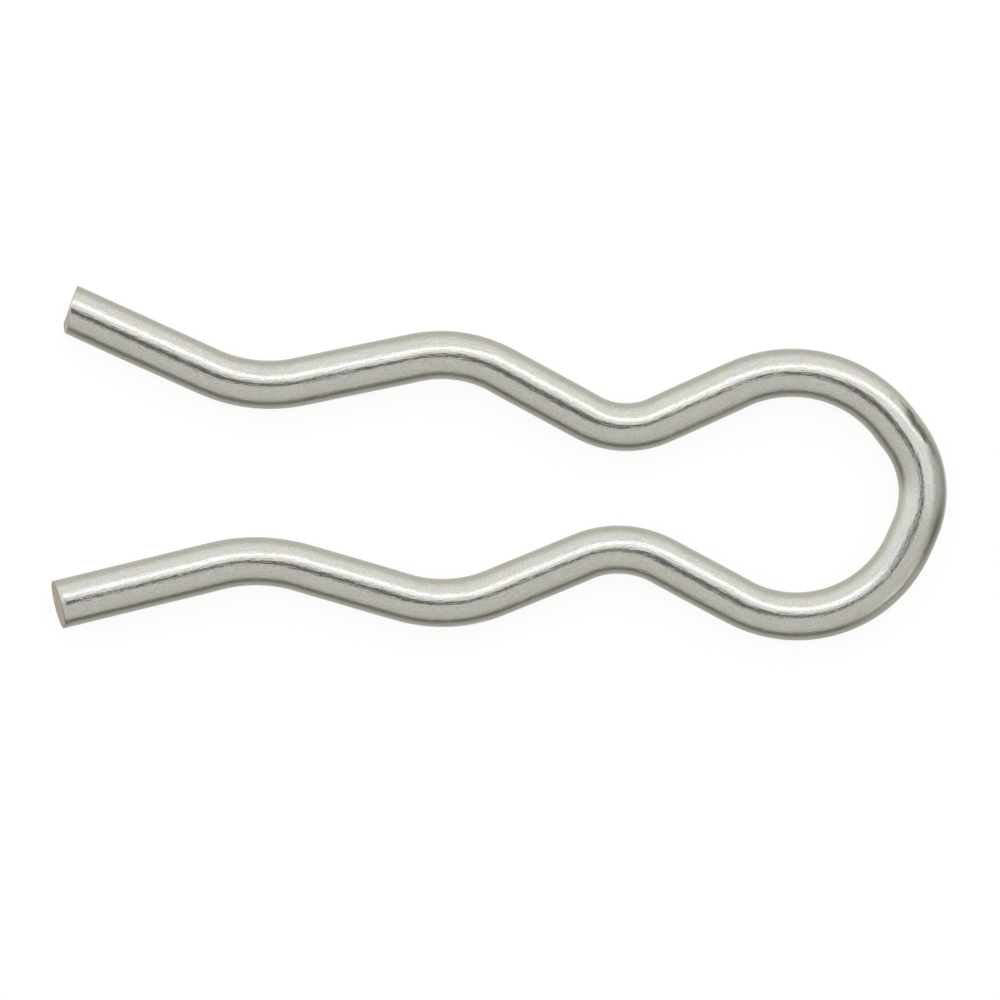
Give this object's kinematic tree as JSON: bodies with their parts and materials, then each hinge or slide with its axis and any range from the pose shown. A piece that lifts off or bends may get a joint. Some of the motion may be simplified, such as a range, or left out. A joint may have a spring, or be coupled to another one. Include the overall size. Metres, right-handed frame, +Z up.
{
  "type": "hitch pin clip",
  "caption": "Flat spring clip of bent round wire, with a finger eye and waved legs that snap round a shaft, hold it at a seat and flare out to sheared ends.",
  "frame": {"origin": "under the middle of the shaft's seat, on the plane that the clip lies on", "axes": "+X along the clip's axis towards the eye, +Y towards the upper leg, +Z up out of the plane that the wire is bent in"},
  "size_m": [0.0729, 0.028, 0.004],
  "materials": {
    "wire": "drawn spring wire, bright zinc plated, with fine draw marks, sheared ends slightly brown"
  },
  "bodies": {
    "root": {"clip": "wire"}
  },
  "joints": []
}
